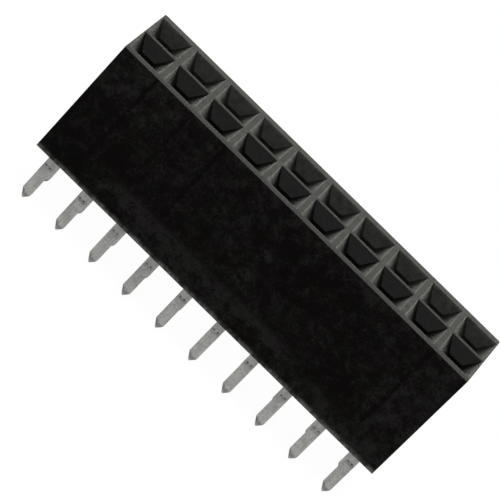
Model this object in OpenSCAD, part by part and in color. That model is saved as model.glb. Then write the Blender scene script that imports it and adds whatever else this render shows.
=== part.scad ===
// Dual-row female pin header strip, straight through-hole tails.
// Millimetres. The origin is the middle of the seating plane, where the housing meets the board.
// X runs along the strip, Y runs from row a to row b, and Z points to the mating face.

/* [Socket grid] */
// Spacing of the sockets, along a row and between the two rows
pitch = 2.54; // [2.5:0.02:3]
// Number of sockets in each row
columns = 10; // [2:1:29]

/* [Housing] */
// How far each end stops short of its share of the grid, so that strips fit end to end
end_gap = 0.1; // [0:0.02:0.12]
// Width of the housing across the two rows
body_w = 5.8; // [5:0.1:7]
// Height of the housing from the board to the mating face
body_h = 8.1; // [7:0.05:10]
// Radius of the four upright corners
corner_r = 0.1; // [0.05:0.05:0.3]
// Depth of the bevel along the two long bottom edges
bevel_d = 0.06; // [0.02:0.02:0.4]
// Height of that bevel
bevel_h = 0.24; // [0.05:0.01:0.5]

/* [Lead-in] */
// Width of the opening at the mating face, along the strip
funnel_w = 2.2; // [1.6:0.02:2.26]
// Width of the opening across the strip
funnel_d = 2.28; // [1.6:0.02:2.3]
// Depth of the sloping lead-in
funnel_h = 0.65; // [0.4:0.05:1.2]
// Width of the square throat below the lead-in
throat_w = 0.95; // [0.8:0.05:1.1]
// Height of the straight throat
throat_h = 0.35; // [0.2:0.05:0.8]

/* [Contact chamber] */
// Width of the chamber along the strip
chamber_w = 1.7; // [1.6:0.02:1.9]
// Depth of the chamber across the strip
chamber_d = 1.45; // [1.35:0.05:1.8]
// How far each retention groove cuts into the wall beside the chamber
groove_bite = 0.15; // [0.08:0.01:0.2]
// Height of the retention grooves above the board
groove_h = 2.1; // [1.9:0.05:2.5]

/* [Contact strip] */
// Thickness of the sheet that the contacts are stamped from
strip_t = 0.25; // [0.16:0.01:0.3]
// Play between a contact and the chamber walls at its sides
side_gap = 0.05; // [0.02:0.01:0.08]
// Play in front of the contact's plate in its grooves, and behind it
plate_gap = 0.03; // [0.01:0.01:0.06]
// Height of the barbed plate
plate_h = 1.2; // [1:0.05:1.3]
// Height of the three-sided cage above the plate
cage_h = 0.9; // [0.5:0.05:1.4]
// Inside radius of the folds at the back of the cage
fold_inner_r = 0.06; // [0.04:0.01:0.1]

/* [Retention] */
// Height of the shoulders that stop against the ends of the grooves
shoulder_h = 0.3; // [0.15:0.05:0.4]
// Height of each barb
barb_h = 0.26; // [0.15:0.01:0.32]
// Height of the flat on a barb that bites the groove wall
barb_flat = 0.08; // [0.04:0.01:0.12]

/* [Spring beams] */
// Width of each beam at its foot
beam_w = 0.8; // [0.6:0.02:0.9]
// Width of each beam at its tip
beam_tip_w = 0.56; // [0.3:0.02:0.6]
// Gap between the two beams at the pinch, with no post in the socket
pinch_gap = 0.44; // [0.3:0.02:0.6]
// Radius of the rounded pinch
pinch_r = 0.7; // [0.4:0.05:1]
// Height of the flared ends above the pinch
flare_h = 0.8; // [0.6:0.05:1]
// How far each flared end reaches past the edge of the throat
flare_catch = 0.03; // [0.01:0.01:0.05]
// Room between the flared ends and the roof of the chamber
tip_gap = 0.15; // [0.05:0.05:0.4]

/* [Solder tail] */
// Length of the tail below the seating plane
tail_l = 3.85; // [2.4:0.05:6]
// Width of the tail
tail_w = 0.64; // [0.5:0.02:0.7]
// Height of the straight bevel on the sheared side of the point
point_l = 0.48; // [0.3:0.02:0.7]
// Height of the rolled side of the point
point_roll_l = 0.36; // [0.25:0.02:0.6]
// Radius where the rolled side meets the edge of the tail
point_roll_r = 0.3; // [0.1:0.05:0.4]
// Width of the flat left at the point
point_flat = 0.1; // [0.06:0.02:0.2]
// Bevel coined along the sheared side of the point
coin = 0.08; // [0.04:0.01:0.1]
// Inside radius of the two bends that bring the tail onto the grid line
jog_r = 0.15; // [0.1:0.01:0.2]
// Distance of the pair of dimples below the seating plane
dimple_drop = 1.32; // [0.8:0.02:1.8]
// Spacing of the two dimples, centre to centre
dimple_pitch = 0.28; // [0.2:0.02:0.36]
// Width of each dimple
dimple_w = 0.1; // [0.06:0.01:0.14]
// Depth of each dimple
dimple_t = 0.045; // [0.02:0.005:0.08]

/* [Hidden] */
$fn = 24;
ROWS = ["a", "b"];
// Steps in each bend of the strip
BEND_STEPS = 4;
// Barbs on each side of a plate
BARBS = 2;
// Extra reach that keeps a cut clear of the face that it opens
CUT = 0.5;

body_l = columns * pitch - 2 * end_gap;
chamber_h = body_h - funnel_h - throat_h;
groove_w = chamber_w + 2 * groove_bite;

// Planes of the contact, measured from its socket's axis
web_back = chamber_d / 2 - plate_gap;
web_y = web_back - strip_t / 2;
cage_x = chamber_w / 2 - side_gap;
wall_x = cage_x - strip_t / 2;
fold_r = fold_inner_r + strip_t;

// Levels of the contact above the seating plane
plate_z = groove_h - plate_h;
cage_top = groove_h + cage_h;
tip_z = chamber_h - tip_gap;
pinch_z = tip_z - flare_h;
// The sides of the cage narrow to the beams over this height
beam_neck_h = beam_w / 2;
// The plate narrows to the tail over this height
plate_neck_h = (cage_x - tail_w / 2) / 2;

pinch_x = (pinch_gap + strip_t) / 2;
flare_x = throat_w / 2 + flare_catch + strip_t / 2;

function contact_name(row, column) = str("contact_", ROWS[row], column < 10 ? "0" : "", column);

// Paths of bent strip

function unit(v) = v / norm(v);

function across(v) = [-v[1], v[0]];

function turned(v, angle) = [
    v[0] * cos(angle) - v[1] * sin(angle),
    v[0] * sin(angle) + v[1] * cos(angle)
];

// Points of an arc of radius r that rounds the corner b between a and c
function round_corner(a, b, c, r) =
    let (
        to_a = unit(a - b),
        to_c = unit(c - b),
        half = acos(to_a * to_c) / 2,
        centre = b + unit(to_a + to_c) * r / sin(half),
        first = b + to_a * r / tan(half) - centre,
        sweep = (180 - 2 * half) * sign(cross(first, b - centre))
    )
    [for (i = [0 : BEND_STEPS]) centre + turned(first, sweep * i / BEND_STEPS)];

// A path through the points, with every inner corner rounded
function bent_path(points, r) = concat(
    [points[0]],
    [for (i = [1 : len(points) - 2])
        each round_corner(points[i - 1], points[i], points[i + 1], r)],
    [points[len(points) - 1]]
);

// Direction across the path at point i, long enough to keep the strip's thickness in a bend
function side_step(path, i) =
    let (
        into = unit(path[max(i, 1)] - path[max(i, 1) - 1]),
        out = unit(path[min(i, len(path) - 2) + 1] - path[min(i, len(path) - 2)]),
        middle = unit(across(into + out))
    )
    middle / (middle * across(into));

// Outline of a strip of thickness t along a path
function strip_outline(path, t) =
    let (steps = [for (i = [0 : len(path) - 1]) side_step(path, i) * t / 2])
    concat(
        [for (i = [0 : len(path) - 1]) path[i] + steps[i]],
        [for (i = [len(path) - 1 : -1 : 0]) path[i] - steps[i]]
    );

// Placing

module in_socket(row, column) {
    translate([(column - (columns + 1) / 2) * pitch, (row - 0.5) * pitch, 0]) children();
}

// A profile drawn in X and Z, as thick as depth in Y, centred on the socket's axis
module front_profile(depth) {
    translate([0, depth / 2, 0]) rotate([90, 0, 0]) linear_extrude(depth) children();
}

// A profile drawn in Y and Z, as thick as width in X, centred on the socket's axis
module side_profile(width) {
    translate([-width / 2, 0, 0]) rotate([90, 0, 90]) linear_extrude(width) children();
}

// Housing

// Outline of the housing seen from above
module body_plan() {
    inner_l = body_l - 2 * corner_r;
    inner_w = body_w - 2 * corner_r;
    square([inner_l, body_w], center = true);
    square([body_l, inner_w], center = true);
    for (x = [-1, 1]) {
        for (y = [-1, 1]) {
            translate([x * inner_l / 2, y * inner_w / 2]) circle(corner_r);
        }
    }
}

// Cross-section of the housing, with its bottom bevels
module body_section() {
    half_w = body_w / 2;
    polygon([
        [-half_w + bevel_d, 0],
        [half_w - bevel_d, 0],
        [half_w, bevel_h],
        [half_w, body_h],
        [-half_w, body_h],
        [-half_w, bevel_h]
    ]);
}

module body_block() {
    intersection() {
        linear_extrude(body_h) body_plan();
        side_profile(body_l) body_section();
    }
}

// Section of the lead-in through the socket's axis, carried on above the mating face
module funnel_section(opening_w) {
    slope = (opening_w - throat_w) / 2 / funnel_h;
    top_w = opening_w + 2 * slope * CUT;
    polygon([
        [-throat_w / 2, body_h - funnel_h],
        [throat_w / 2, body_h - funnel_h],
        [top_w / 2, body_h + CUT],
        [-top_w / 2, body_h + CUT]
    ]);
}

module funnel() {
    intersection() {
        front_profile(funnel_d + 2 * CUT) funnel_section(funnel_w);
        side_profile(funnel_w + 2 * CUT) funnel_section(funnel_d);
    }
}

module throat() {
    translate([-throat_w / 2, -throat_w / 2, chamber_h - CUT]) {
        cube([throat_w, throat_w, throat_h + 2 * CUT]);
    }
}

module chamber() {
    translate([-chamber_w / 2, -chamber_d / 2, -CUT]) {
        cube([chamber_w, chamber_d, chamber_h + CUT]);
    }
}

// Slots beside the chamber that hold the edges of the contact's plate
module grooves() {
    front = web_back - strip_t - plate_gap;
    translate([-groove_w / 2, front, -CUT]) {
        cube([groove_w, chamber_d / 2 - front, groove_h + CUT]);
    }
}

module socket_cut() {
    funnel();
    throat();
    chamber();
    grooves();
}

module housing() {
    color("#1c1c1c")
    difference() {
        body_block();
        for (row = [0 : 1]) {
            for (column = [1 : columns]) {
                in_socket(row, column) socket_cut();
            }
        }
    }
}

// Contact

// One barb: a ramp on top, and a hook below that bites the wall of the groove
module barb(z) {
    polygon([
        [0, z],
        [groove_w / 2, z],
        [groove_w / 2, z + barb_flat],
        [cage_x, z + barb_h],
        [0, z + barb_h]
    ]);
}

// Front outline of the plate, with its shoulders and barbs
module plate_outline() {
    shoulder_x = groove_w / 2 - plate_gap;
    barb_space = plate_h - shoulder_h - plate_neck_h;
    polygon([
        [-tail_w / 2, plate_z],
        [tail_w / 2, plate_z],
        [cage_x, plate_z + plate_neck_h],
        [cage_x, groove_h],
        [-cage_x, groove_h],
        [-cage_x, plate_z + plate_neck_h]
    ]);
    translate([-shoulder_x, groove_h - shoulder_h]) square([2 * shoulder_x, shoulder_h]);
    for (i = [0 : BARBS - 1]) {
        z = plate_z + plate_neck_h + i * barb_space / BARBS;
        barb(z);
        mirror([1, 0]) barb(z);
    }
}

// Front outline of the tail: one side of the point is sheared straight, the other is rolled
module tail_outline() {
    edge = tail_w / 2;
    tip = [point_flat / 2, -tail_l];
    turn = [edge, -tail_l + point_roll_l];
    rolled_side = round_corner([edge, 0], turn, tip, point_roll_r);
    polygon(concat(
        [[-edge, plate_z + CUT], [edge, plate_z + CUT]],
        rolled_side,
        [tip, [-tip[0], tip[1]], [-edge, -tail_l + point_l]]
    ));
}

// Side outline of the strip from the plate, through the jog, to the end of the tail
module jogged_strip() {
    route = [
        [web_y, groove_h],
        [web_y, plate_z],
        [0, plate_z - web_y],
        [0, -tail_l]
    ];
    polygon(strip_outline(bent_path(route, jog_r + strip_t / 2), strip_t));
}

// A chisel that coins the front edge of the sheared side of the point
module coining_cut() {
    low = [-point_flat / 2, -tail_l];
    high = [-tail_w / 2, -tail_l + point_l];
    middle = (low + high) / 2;
    lean = atan2(high[0] - low[0], high[1] - low[1]);
    side = coin * sqrt(2);
    translate([middle[0], -strip_t / 2, middle[1]]) {
        rotate([0, lean, 0]) rotate([0, 0, 45]) {
            cube([side, side, norm(high - low) + coin], center = true);
        }
    }
}

// Two notches that a chisel-ended punch leaves in the front of the tail
module dimple_cuts() {
    flank = dimple_t * sqrt(2);
    for (side = [-1, 1]) {
        translate([side * dimple_pitch / 2, -strip_t / 2, -dimple_drop]) {
            rotate([45, 0, 0]) cube([dimple_w, flank, flank], center = true);
        }
    }
}

module plate_and_tail() {
    difference() {
        intersection() {
            front_profile(2 * chamber_d) {
                plate_outline();
                tail_outline();
            }
            side_profile(2 * pitch) jogged_strip();
        }
        coining_cut();
        dimple_cuts();
    }
}

// Section of the cage seen from above: a channel with its back corners folded
module cage_plan(half_x, back, r) {
    front = -beam_w / 2;
    translate([-half_x, front]) square([2 * half_x, back - r - front]);
    translate([-half_x + r, front]) square([2 * (half_x - r), back - front]);
    for (side = [-1, 1]) {
        translate([side * (half_x - r), back - r]) circle(r);
    }
}

module cage() {
    translate([0, 0, groove_h]) {
        linear_extrude(cage_h) {
            difference() {
                cage_plan(cage_x, web_back, fold_r);
                translate([0, -strip_t]) {
                    cage_plan(cage_x - strip_t, web_back, fold_inner_r);
                }
            }
        }
    }
}

// Side outline shared by both beams
module beam_side() {
    polygon([
        [-beam_w / 2, groove_h],
        [-beam_w / 2, cage_top + beam_neck_h],
        [-beam_tip_w / 2, tip_z],
        [beam_tip_w / 2, tip_z],
        [beam_w / 2, cage_top + beam_neck_h],
        [web_back - fold_r, cage_top],
        [web_back - fold_r, groove_h]
    ]);
}

// Front outline of one beam: up the cage's wall, in to the pinch, and out to the flared end
module beam_front() {
    route = [
        [wall_x, groove_h],
        [wall_x, cage_top],
        [pinch_x, pinch_z],
        [flare_x, tip_z]
    ];
    polygon(strip_outline(bent_path(route, pinch_r), strip_t));
}

module beams() {
    intersection() {
        side_profile(2 * chamber_w) beam_side();
        front_profile(2 * chamber_d) {
            beam_front();
            mirror([1, 0]) beam_front();
        }
    }
}

module contact(row, column) {
    color("#b8b8b4")
    in_socket(row, column) {
        plate_and_tail();
        cage();
        beams();
    }
}

housing();
for (row = [0 : 1]) {
    for (column = [1 : columns]) {
        contact(row, column);
    }
}
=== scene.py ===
"""Looks of a dual-row socket strip: its materials, a pale studio and the camera, round the solids."""

import math

import bpy
from mathutils import Matrix, Vector


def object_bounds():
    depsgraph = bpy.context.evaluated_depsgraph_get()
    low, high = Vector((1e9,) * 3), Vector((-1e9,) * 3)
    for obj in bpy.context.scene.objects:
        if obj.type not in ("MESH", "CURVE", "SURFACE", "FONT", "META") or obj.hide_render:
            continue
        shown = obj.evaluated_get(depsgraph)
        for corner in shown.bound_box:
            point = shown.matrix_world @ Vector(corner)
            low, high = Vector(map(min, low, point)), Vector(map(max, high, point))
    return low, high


MM = 0.001
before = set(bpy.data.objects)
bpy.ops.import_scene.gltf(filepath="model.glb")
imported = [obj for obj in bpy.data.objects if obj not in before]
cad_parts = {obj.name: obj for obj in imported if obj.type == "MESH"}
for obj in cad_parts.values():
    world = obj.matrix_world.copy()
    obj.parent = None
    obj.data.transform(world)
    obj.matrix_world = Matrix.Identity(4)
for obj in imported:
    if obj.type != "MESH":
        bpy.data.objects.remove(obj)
cad_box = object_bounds()
contacts = sorted(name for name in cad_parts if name.startswith("contact_"))
floor_z = cad_box[0].z

# Sizes on the object in millimetres, for the marks in its materials
PITCH = 2.54
HALF_LENGTH = cad_box[1].x / MM
HALF_DEPTH = cad_box[1].y / MM
BODY_TOP = cad_box[1].z / MM
TAIL_END = floor_z / MM
TAIL_HALF_WIDTH = 0.32
POINT_WIDTH = 0.27
POINT_HEIGHT = 0.48
DIMPLE_OFFSET = 0.14
DIMPLE_HEIGHT = -1.32

# In the values of the materials, a noise is its cells per millimetre, its octaves and their roughness.
# A ramp is where it starts and ends, and then its value at either end where these aren't 0 and 1.
# Colours are in linear light, and lengths in millimetres.
NOISE_MIDDLE = 0.5
FINE_NOISE = (9.0, 3.0, 0.8)

# Skin of the long faces: its mottle, and how far the mottle pushes the marks about
MOTTLE_NOISE = (1.3, 4.0, 0.95)
GRAIN_RAMP = (0.29, 0.71)
GRAIN_CURVE = 1.6
GRAIN_WEIGHT = 1.05
WANDER = 2.2

# Sink marks over webs: the web, counted from the middle, the height where it starts, its strength
SINK_MARKS = (
    (-4, 1.4, 0.5),
    (-3, 2.6, 0.22),
    (-2, 1.6, 0.5),
    (4, 1.2, 0.42),
)
SINK_CORE = 0.03
SINK_HALF_WIDTH = 0.2
SINK_RISE = 1.5

# Paler band low on the long faces: its heights, its stretch along the strip, and how far both fade
PALE_BAND_HEIGHTS = (1.25, 1.85)
PALE_BAND_HEIGHT_FADE = 0.2
PALE_BAND_SPAN = (-6.3, 3.2)
PALE_BAND_SPAN_FADE = 3.0
PALE_BAND_STRENGTH = 1.4

# Soft patches on the long faces: middle, half width, half height, and how much paler or darker
FACE_SPOTS = (
    ((-3.0, 0.7), 5.0, 0.9, 0.7),
    ((10.5, 0.7), 7.5, 0.9, 0.9),
    ((12.5, 4.5), 3.5, 6.0, 0.5),
    ((-11.5, 7.6), 4.5, 3.0, 0.5),
    ((0.0, 8.2), 14.0, 1.1, 0.3),
    ((-12.0, 2.0), 4.0, 4.0, -0.3),
    ((-8.0, 3.2), 2.5, 1.6, -0.2),
    ((3.0, 5.8), 5.5, 2.4, -0.3),
    ((7.0, 2.9), 3.5, 1.6, -0.3),
    ((0.25, 3.3), 0.6, 0.55, 2.4),
    ((0.5, 5.1), 0.5, 0.45, 1.8),
)

# Painted reflection of the floor on the foot: it fades upwards, spares the underside, and is weaker at
# the left end and on columns
FOOT_REFLECTION_FALL = (0.0, 0.39, 1.0, 0.0)
FOOT_REFLECTION_UNDERSIDE = (0.0, 0.01)
FOOT_REFLECTION_STRETCH = (1, 1, 0.5)
FOOT_REFLECTION_NOISE = (1.6, 3.0, 0.8)
FOOT_REFLECTION_PATCHES = (0.36, 0.64, 0.2, 1.5)
FOOT_REFLECTION_LEFT_END = (-12.5, -8.0, 0.55, 1.0)
FOOT_REFLECTION_OFF_COLUMN = (0.1, 1.1, 0.68, 1.2)

# Ramps that part the top and the sockets from the sides and the foot, and the top from the funnels
END_RAMP = (HALF_LENGTH - 0.1, HALF_LENGTH - 0.05, 1.0, 0.0)
SIDE_RAMP = (HALF_DEPTH - 0.06, HALF_DEPTH - 0.02, 1.0, 0.0)
FOOT_RAMP = (0.5, 1.0)
TOP_RAMP = (BODY_TOP - 0.1, BODY_TOP - 0.02)

# Faint painted sheen: on the webs of the top face and its back rim, in the funnels, and its patches
SHEEN_WEBS = (-2.75, -2.1, 0.0, 0.62)
SHEEN_BESIDE_COLUMN = (1.0, 1.15)
SHEEN_OFF_ROW_WEB = (0.15, 0.3)
SHEEN_BACK_RIM = (2.0, 2.7, 0.0, 0.38)
SHEEN_FUNNELS = (0.6, 2.3, 0.07, 0.36)
SHEEN_NOISE = (2.4, 3.0, 0.8)
SHEEN_PATCHES = (0.34, 0.66, 0.5, 1.5)

# Plastic of the housing
PLASTIC_DARK = (0.0007, 0.0004, 0.0003, 1)
PLASTIC_REDDISH = (0.0064, 0.0056, 0.0057, 1)
PLASTIC_GREENISH = (0.0058, 0.0059, 0.0053, 1)
# Colour of the painted sheen on the top face and in the funnels
PLASTIC_SHEEN = (0.0146, 0.015, 0.013, 1)
# Colour of the painted floor reflection along the foot
PLASTIC_FOOT_REFLECTION = (0.063, 0.064, 0.059, 1)
HUE_NOISE = (0.5, 2.0, 0.5)
HUE_RAMP = (0.4, 0.6)
CALMER_TO_BACK = (-2.5, 2.5, 1.0, 0.55)
PLASTIC_ROUGHNESS = (0.3, 0.7, 0.34, 0.46)
PLASTIC_RELIEF = 0.016
PLASTIC_EDGE = 0.07
PLASTIC_SPECULAR = 0.03

# Painted shade on the tails: along the sheared side of the point, above its end, and below each dimple
SHEAR_FALL = (0.08, 0.26, 0.78, 0.0)
SHEAR_HEIGHTS = (TAIL_END + 0.25, TAIL_END + POINT_HEIGHT - 0.05)
SHEAR_FADE = 0.16
TIP_CENTRE = (0.06, TAIL_END + 0.25)
TIP_HALF_SIZE = (0.32, 0.19)
TIP_STRENGTH = 0.62
DIMPLE_SHADE_DROP = 0.07
DIMPLE_SHADE_HALF_SIZE = (0.26, 0.2)
DIMPLE_SHADE_CLOUDS = (0.4, 0.6, 0.1, 0.55)
SHADE_CLOUDS = (0.38, 0.6, 0.75, 1.0)

# Tin of the contacts: draw lines along the tail, clouds and pits, each with its share of the tone
TIN_DARK = (0.215, 0.221, 0.208, 1)
TIN_PALE = (0.372, 0.378, 0.36, 1)
# Colour of the painted shade on the points and below the dimples
TIN_SHADED = (0.075, 0.075, 0.073, 1)
LINE_STRETCH = (1, 1, 0.06)
LINE_NOISE = (14.0, 3.0, 0.6)
LINE_SHARE = 0.2
CLOUD_NOISE = (1.8, 4.0, 0.75)
CLOUD_SHARE = 0.4
PIT_SHARE = 0.4
TIN_TONE = (0.38, 0.62)
# Painted shade: the tails darker towards the housing, paler towards their ends
TIN_SHADE_TOWARDS_HOUSING = (-3.6, -0.7, 0.2, -0.15)
TIN_ROUGHNESS = (0.3, 0.7, 0.38, 0.5)
TIN_RELIEF = 0.006
TIN_EDGE = 0.035
# How deep the pits are beside the draw lines
PIT_DEPTH = 0.6

# Samples of the shader that rounds edges
EDGE_SAMPLES = 8

# Camera, as the photograph was taken: angles in degrees, lengths in millimetres
FRAME_PX = 500
FOCAL_PX = 3801.15
SENSOR = 36
AZIMUTH = 0.881
ELEVATION = 29.6
ROLL = 44.005
DISTANCE = 206.174
NEAREST_SEEN = 10
FARTHEST_SEEN = 10000
# Where the origin shows in the picture, right of its middle and below it, as a length at the object
OFF_RIGHT = -1.4581
OFF_DOWN = 2.1967

# Floor
FLOOR_SIDE = 4000
FLOOR_WHITE = 0.6
# Share of it that is plain white where it is seen directly, while the rest takes the shadow
FLOOR_GLOW = 0.95

# Light
WHITE = (1.0, 1.0, 1.0)
WARM = (1.0, 1.0, 0.92)
WORLD_STRENGTH = 0.5
# Soft panels: name, middle, the point that it faces, width and height, radiance, colour
PANELS = (
    ("back_panel", (0, 230, 96), (0, 0, 96), (500, 200), 4.4, WARM),
    ("left_panel", (-125, 193, 50), (0, 0, 8), (120, 62), 13.0, WARM),
    ("right_panel", (125, 193, 54), (0, 0, 8), (120, 70), 12.8, WARM),
    ("front_panel", (0, -130, 210), (0, 0, 0), (190, 140), 10.0, WHITE),
)


def make_camera():
    """A pinhole camera turned round the origin, then slid in its own picture plane."""
    azimuth, elevation, roll = map(math.radians, (AZIMUTH, ELEVATION, ROLL))
    forward = Vector((
        -math.sin(azimuth) * math.cos(elevation),
        math.cos(azimuth) * math.cos(elevation),
        -math.sin(elevation),
    ))
    level = Vector((math.cos(azimuth), math.sin(azimuth), 0))
    plumb = forward.cross(level)
    right = math.cos(roll) * level - math.sin(roll) * plumb
    down = math.sin(roll) * level + math.cos(roll) * plumb
    place = -MM * (OFF_RIGHT * right + OFF_DOWN * down + DISTANCE * forward)
    data = bpy.data.cameras.new("camera")
    data.sensor_width = SENSOR
    data.lens = SENSOR * FOCAL_PX / FRAME_PX
    data.clip_start = NEAREST_SEEN * MM
    data.clip_end = FARTHEST_SEEN * MM
    camera = bpy.data.objects.new("camera", data)
    camera.matrix_world = Matrix((
        (right.x, -down.x, -forward.x, place.x),
        (right.y, -down.y, -forward.y, place.y),
        (right.z, -down.z, -forward.z, place.z),
        (0, 0, 0, 1),
    ))
    bpy.context.scene.collection.objects.link(camera)
    bpy.context.scene.camera = camera


class Graph:
    """A short way to build a node tree: most calls add a node and return its output."""

    def __init__(self, tree):
        self.tree = tree
        tree.nodes.clear()

    def add(self, kind, **settings):
        """Adds a node with these settings and returns the node itself."""
        node = self.tree.nodes.new(kind)
        for key, value in settings.items():
            setattr(node, key, value)
        return node

    def feed(self, socket, value):
        """Links the socket to another one, or sets it to a plain value."""
        if isinstance(value, bpy.types.NodeSocket):
            self.tree.links.new(value, socket)
        else:
            socket.default_value = value

    def math(self, operation, *values, clamp=False):
        node = self.add("ShaderNodeMath", operation=operation, use_clamp=clamp)
        for socket, value in zip(node.inputs, values):
            self.feed(socket, value)
        return node.outputs[0]

    def plus(self, first, second):
        return self.math("ADD", first, second)

    def minus(self, first, second, clamp=False):
        return self.math("SUBTRACT", first, second, clamp=clamp)

    def times(self, first, second, clamp=False):
        return self.math("MULTIPLY", first, second, clamp=clamp)

    def larger(self, first, second):
        return self.math("MAXIMUM", first, second)

    def magnitude(self, value):
        return self.math("ABSOLUTE", value)

    def smooth(self, value, low, high, out_low=0.0, out_high=1.0):
        """Goes smoothly from out_low to out_high as value goes from low to high."""
        node = self.add("ShaderNodeMapRange", interpolation_type="SMOOTHSTEP")
        for socket, given in zip(node.inputs, (value, low, high, out_low, out_high)):
            self.feed(socket, given)
        return node.outputs[0]

    def noise(self, place, scale, detail, roughness):
        node = self.add("ShaderNodeTexNoise")
        self.feed(node.inputs["Vector"], place)
        node.inputs["Scale"].default_value = scale
        node.inputs["Detail"].default_value = detail
        node.inputs["Roughness"].default_value = roughness
        return node.outputs["Fac"]

    def mix(self, amount, first, second):
        """The first colour where amount is 0, the second where it is 1."""
        node = self.add("ShaderNodeMix", data_type="RGBA")
        self.feed(node.inputs["Factor"], amount)
        self.feed(node.inputs["A"], first)
        self.feed(node.inputs["B"], second)
        return node.outputs["Result"]

    def millimetres(self):
        """Place on the object in millimetres, and its three parts."""
        place = self.add("ShaderNodeTexCoord").outputs["Object"]
        scaled = self.add("ShaderNodeVectorMath", operation="SCALE")
        self.feed(scaled.inputs[0], place)
        scaled.inputs["Scale"].default_value = 1 / MM
        split = self.add("ShaderNodeSeparateXYZ")
        self.feed(split.inputs[0], scaled.outputs[0])
        return scaled.outputs[0], split.outputs[0], split.outputs[1], split.outputs[2]

    def stretched(self, place, factors):
        node = self.add("ShaderNodeVectorMath", operation="MULTIPLY")
        self.feed(node.inputs[0], place)
        node.inputs[1].default_value = factors
        return node.outputs[0]

    def bump(self, height, depth_mm, normal):
        node = self.add("ShaderNodeBump")
        self.feed(node.inputs["Height"], height)
        self.feed(node.inputs["Normal"], normal)
        node.inputs["Distance"].default_value = depth_mm * MM
        return node.outputs[0]

    def soft_edges(self, radius_mm):
        """A normal that rounds the edges a little, to this radius."""
        node = self.add("ShaderNodeBevel", samples=EDGE_SAMPLES)
        node.inputs["Radius"].default_value = radius_mm * MM
        return node.outputs[0]


def new_material(name):
    material = bpy.data.materials.new(name)
    material.use_nodes = True
    return material, Graph(material.node_tree)


def surface(graph, **inputs):
    """A Principled shader with these inputs, joined to the output."""
    shader = graph.add("ShaderNodeBsdfPrincipled")
    for name, value in inputs.items():
        graph.feed(shader.inputs[name.replace("_", " ")], value)
    graph.feed(graph.add("ShaderNodeOutputMaterial").inputs["Surface"], shader.outputs[0])


def band(graph, value, low, high, fade):
    """1 where value lies between low and high, falling to 0 over fade on either side."""
    rise = graph.smooth(value, low - fade, low)
    fall = graph.smooth(value, high, high + fade, 1.0, 0.0)
    return graph.times(rise, fall)


def spot(graph, across, up, centre, half_width, half_height):
    """1 in the middle of a soft oval, 0 at its edge and outside."""
    wide = graph.times(graph.minus(across, centre[0]), 1 / half_width)
    high = graph.times(graph.minus(up, centre[1]), 1 / half_height)
    square = graph.plus(graph.math("POWER", wide, 2.0), graph.math("POWER", high, 2.0))
    return graph.smooth(square, 0.0, 1.0, 1.0, 0.0)


def column_offset(graph, x):
    """How far a place lies to the right of its column's middle; x is 0 halfway between two columns."""
    phase = graph.math("FRACT", graph.times(x, 1 / PITCH))
    return graph.times(graph.minus(phase, 0.5), PITCH)


def sink_marks(graph, x, z):
    """How dark the upright lines are that show on the long faces over some of the webs."""
    lines = 0.0
    for web, foot, strength in SINK_MARKS:
        off = graph.magnitude(graph.minus(x, web * PITCH))
        line = graph.smooth(off, SINK_CORE, SINK_HALF_WIDTH, strength, 0.0)
        line = graph.times(line, graph.smooth(z, foot, foot + SINK_RISE))
        lines = graph.plus(lines, line)
    return lines


def low_pale_band(graph, across, up):
    """How pale the band is low on the long faces."""
    heights = band(graph, up, *PALE_BAND_HEIGHTS, PALE_BAND_HEIGHT_FADE)
    span = band(graph, across, *PALE_BAND_SPAN, PALE_BAND_SPAN_FADE)
    return graph.times(graph.times(heights, span), PALE_BAND_STRENGTH)


def face_tone(graph, place, x, z):
    """How pale the long faces are, from 0 to 1: mottled, with the marks that the moulding left."""
    mottle = graph.noise(place, *MOTTLE_NOISE)
    grain = graph.smooth(mottle, *GRAIN_RAMP)
    wander = graph.times(graph.minus(mottle, NOISE_MIDDLE), WANDER)
    across = graph.plus(x, wander)
    up = graph.plus(z, wander)
    tone = graph.times(graph.math("POWER", grain, GRAIN_CURVE), GRAIN_WEIGHT)
    for centre, half_width, half_height, amount in FACE_SPOTS:
        oval = spot(graph, across, up, centre, half_width, half_height)
        tone = graph.plus(graph.times(oval, amount), tone)
    tone = graph.plus(tone, low_pale_band(graph, across, up))
    tone = graph.times(grain, graph.larger(tone, 0.0))
    return graph.minus(tone, sink_marks(graph, x, z), clamp=True)


def foot_reflection(graph, place, x, z):
    """How strong the painted floor reflection on the foot is: most at its edge and off the columns,
    patchy, less at the left end.
    """
    near = graph.times(graph.smooth(z, *FOOT_REFLECTION_FALL), graph.smooth(z, *FOOT_REFLECTION_UNDERSIDE))
    patches = graph.noise(graph.stretched(place, FOOT_REFLECTION_STRETCH), *FOOT_REFLECTION_NOISE)
    patches = graph.smooth(patches, *FOOT_REFLECTION_PATCHES)
    along = graph.smooth(x, *FOOT_REFLECTION_LEFT_END)
    off_column = graph.smooth(graph.magnitude(column_offset(graph, x)), *FOOT_REFLECTION_OFF_COLUMN)
    reflected = graph.times(off_column, graph.times(patches, along))
    return graph.times(near, reflected, clamp=True)


def within_sides(graph, x, y, z):
    """1 on the top face and in the sockets, 0 on the four sides."""
    across = graph.smooth(graph.magnitude(x), *END_RAMP)
    deep = graph.smooth(graph.magnitude(y), *SIDE_RAMP)
    return graph.times(graph.smooth(z, *FOOT_RAMP), graph.times(across, deep))


def top_sheen(graph, x, y, z):
    """Painted sheen: on the top face behind its front rim, most on the back rim, and in the back
    funnels.
    """
    beside_column = graph.smooth(graph.magnitude(column_offset(graph, x)), *SHEEN_BESIDE_COLUMN)
    off_row_web = graph.smooth(graph.magnitude(y), *SHEEN_OFF_ROW_WEB)
    webs = graph.times(graph.smooth(y, *SHEEN_WEBS), graph.larger(beside_column, off_row_web))
    on_top = graph.plus(webs, graph.smooth(y, *SHEEN_BACK_RIM))
    in_funnels = graph.smooth(y, *SHEEN_FUNNELS)
    level = graph.smooth(z, *TOP_RAMP)
    return graph.plus(in_funnels, graph.times(level, graph.minus(on_top, in_funnels)))


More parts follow.
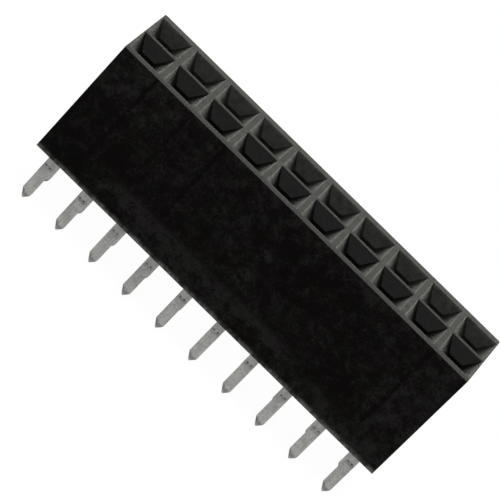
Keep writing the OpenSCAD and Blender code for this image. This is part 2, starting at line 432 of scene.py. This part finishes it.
def plastic_colour(graph, place, x, y, z):
    """Black all over: mottled sides, painted sheen on the top and in the funnels, a painted floor
    reflection along the foot.
    """
    hue = graph.smooth(graph.noise(place, *HUE_NOISE), *HUE_RAMP)
    pale = graph.mix(hue, PLASTIC_REDDISH, PLASTIC_GREENISH)
    inner = within_sides(graph, x, y, z)
    calm = graph.times(graph.smooth(y, *CALMER_TO_BACK), graph.minus(1.0, inner))
    tone = graph.times(face_tone(graph, place, x, z), calm)
    colour = graph.mix(tone, PLASTIC_DARK, pale)
    # Painted sheen on the top face and in the funnels, in patches
    patches = graph.smooth(graph.noise(place, *SHEEN_NOISE), *SHEEN_PATCHES)
    painted_sheen = graph.times(inner, graph.times(top_sheen(graph, x, y, z), patches))
    colour = graph.mix(painted_sheen, colour, PLASTIC_SHEEN)
    # Painted reflection of the floor along the foot
    return graph.mix(foot_reflection(graph, place, x, z), colour, PLASTIC_FOOT_REFLECTION)


def housing_plastic():
    """Black glass-filled plastic, satin from the mould, with faint marks on its long faces."""
    material, graph = new_material("black_moulded_plastic")
    place, x, y, z = graph.millimetres()
    grain = graph.noise(place, *FINE_NOISE)
    surface(
        graph,
        Base_Color=plastic_colour(graph, place, x, y, z),
        Roughness=graph.smooth(grain, *PLASTIC_ROUGHNESS),
        Specular_IOR_Level=PLASTIC_SPECULAR,
        Normal=graph.bump(grain, PLASTIC_RELIEF, graph.soft_edges(PLASTIC_EDGE)),
    )
    return material


def shear_painted_shade(graph, right, z):
    """The painted shade along the sheared side of the point, which leans up to the left edge of the
    tail.
    """
    lean = math.atan2(POINT_HEIGHT, POINT_WIDTH)
    inwards = graph.times(graph.plus(right, TAIL_HALF_WIDTH), math.sin(lean))
    upwards = graph.times(graph.minus(z, TAIL_END + POINT_HEIGHT), math.cos(lean))
    from_edge = graph.plus(inwards, upwards)
    heights = band(graph, z, *SHEAR_HEIGHTS, SHEAR_FADE)
    return graph.times(graph.smooth(from_edge, *SHEAR_FALL), heights)


def tail_painted_shade(graph, x, z, cloud):
    """Painted shade of darker metal along the sheared side of the point, above its end and below the
    dimples.
    """
    right = column_offset(graph, x)
    tip = graph.times(spot(graph, right, z, TIP_CENTRE, *TIP_HALF_SIZE), TIP_STRENGTH)
    painted_shade = graph.larger(shear_painted_shade(graph, right, z), tip)
    for side in (-1, 1):
        centre = (side * DIMPLE_OFFSET, DIMPLE_HEIGHT - DIMPLE_SHADE_DROP)
        dimple_shade = spot(graph, right, z, centre, *DIMPLE_SHADE_HALF_SIZE)
        dimple_shade = graph.times(dimple_shade, graph.smooth(cloud, *DIMPLE_SHADE_CLOUDS))
        painted_shade = graph.larger(painted_shade, dimple_shade)
    return graph.times(painted_shade, graph.smooth(cloud, *SHADE_CLOUDS))


def contact_tin():
    """Matte tin over rolled strip: soft draw lines along the tail, cloudy patches, painted shade on
    the points and below the dimples, and painted shade towards the housing.
    """
    material, graph = new_material("matte_tin_plate")
    place, x, _, z = graph.millimetres()
    lines = graph.noise(graph.stretched(place, LINE_STRETCH), *LINE_NOISE)
    cloud = graph.noise(place, *CLOUD_NOISE)
    pits = graph.noise(place, *FINE_NOISE)
    tone = graph.plus(graph.times(lines, LINE_SHARE), graph.times(cloud, CLOUD_SHARE))
    tone = graph.smooth(graph.plus(tone, graph.times(pits, PIT_SHARE)), *TIN_TONE)
    # Painted shade: darker towards the housing, paler towards the tails' ends
    tone = graph.plus(tone, graph.smooth(z, *TIN_SHADE_TOWARDS_HOUSING))
    colour = graph.mix(tone, TIN_DARK, TIN_PALE)
    relief = graph.plus(lines, graph.times(pits, PIT_DEPTH))
    surface(
        graph,
        Base_Color=graph.mix(tail_painted_shade(graph, x, z, cloud), colour, TIN_SHADED),
        Metallic=1.0,
        Roughness=graph.smooth(cloud, *TIN_ROUGHNESS),
        Normal=graph.bump(relief, TIN_RELIEF, graph.soft_edges(TIN_EDGE)),
    )
    return material


def dress(name, material):
    """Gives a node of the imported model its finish."""
    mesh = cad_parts[name].data
    mesh.materials.clear()
    mesh.materials.append(material)


def seen_directly(graph):
    """1 for rays from the camera and for mirror and glass rays, else 0."""
    path = graph.add("ShaderNodeLightPath")
    glossy = graph.larger(path.outputs["Is Camera Ray"], path.outputs["Is Glossy Ray"])
    return graph.larger(glossy, path.outputs["Is Transmission Ray"])


def floor_paper():
    """Plain white where it is seen directly, pale paper that takes the shadow, clear from below."""
    material, graph = new_material("pale_floor")
    paper = graph.add("ShaderNodeBsdfDiffuse")
    paper.inputs["Color"].default_value = (FLOOR_WHITE, FLOOR_WHITE, FLOOR_WHITE, 1)
    glow = graph.add("ShaderNodeEmission")
    above = graph.add("ShaderNodeMixShader")
    graph.feed(above.inputs[0], graph.times(seen_directly(graph), FLOOR_GLOW))
    graph.feed(above.inputs[1], paper.outputs[0])
    graph.feed(above.inputs[2], glow.outputs[0])
    both = graph.add("ShaderNodeMixShader")
    graph.feed(both.inputs[0], graph.add("ShaderNodeNewGeometry").outputs["Backfacing"])
    graph.feed(both.inputs[1], above.outputs[0])
    graph.feed(both.inputs[2], graph.add("ShaderNodeBsdfTransparent").outputs[0])
    graph.feed(graph.add("ShaderNodeOutputMaterial").inputs["Surface"], both.outputs[0])
    return material


def make_floor():
    """A square floor under the tails' ends."""
    half = FLOOR_SIDE * MM / 2
    signs = ((-1, -1), (1, -1), (1, 1), (-1, 1))
    mesh = bpy.data.meshes.new("floor")
    mesh.from_pydata([(half * x, half * y, floor_z) for x, y in signs], [], [(0, 1, 2, 3)])
    mesh.materials.append(floor_paper())
    floor = bpy.data.objects.new("floor", mesh)
    bpy.context.scene.collection.objects.link(floor)


def make_world():
    """Even light from all round."""
    world = bpy.data.worlds.new("studio")
    world.use_nodes = True
    graph = Graph(world.node_tree)
    sky = graph.add("ShaderNodeBackground")
    sky.inputs["Color"].default_value = (*WHITE, 1)
    sky.inputs["Strength"].default_value = WORLD_STRENGTH
    graph.feed(graph.add("ShaderNodeOutputWorld").inputs["Surface"], sky.outputs[0])
    bpy.context.scene.world = world


def make_panel(name, place, target, sides, radiance, colour):
    """A soft panel, equally bright all over, that faces the target and isn't seen by the camera."""
    data = bpy.data.lights.new(name, "AREA")
    data.color = colour
    data.shape = "RECTANGLE"
    data.size, data.size_y = (side * MM for side in sides)
    data.energy = math.pi * radiance * data.size * data.size_y
    panel = bpy.data.objects.new(name, data)
    panel.location = Vector(place) * MM
    panel.rotation_mode = "QUATERNION"
    panel.rotation_quaternion = (Vector(target) - Vector(place)).to_track_quat("-Z", "Y")
    panel.visible_camera = False
    bpy.context.scene.collection.objects.link(panel)


make_camera()
plastic = housing_plastic()
tin = contact_tin()
dress("housing", plastic)
for contact in contacts:
    dress(contact, tin)
make_floor()
make_world()
for panel in PANELS:
    make_panel(*panel)

scene = bpy.context.scene
scene.view_settings.view_transform = "Standard"
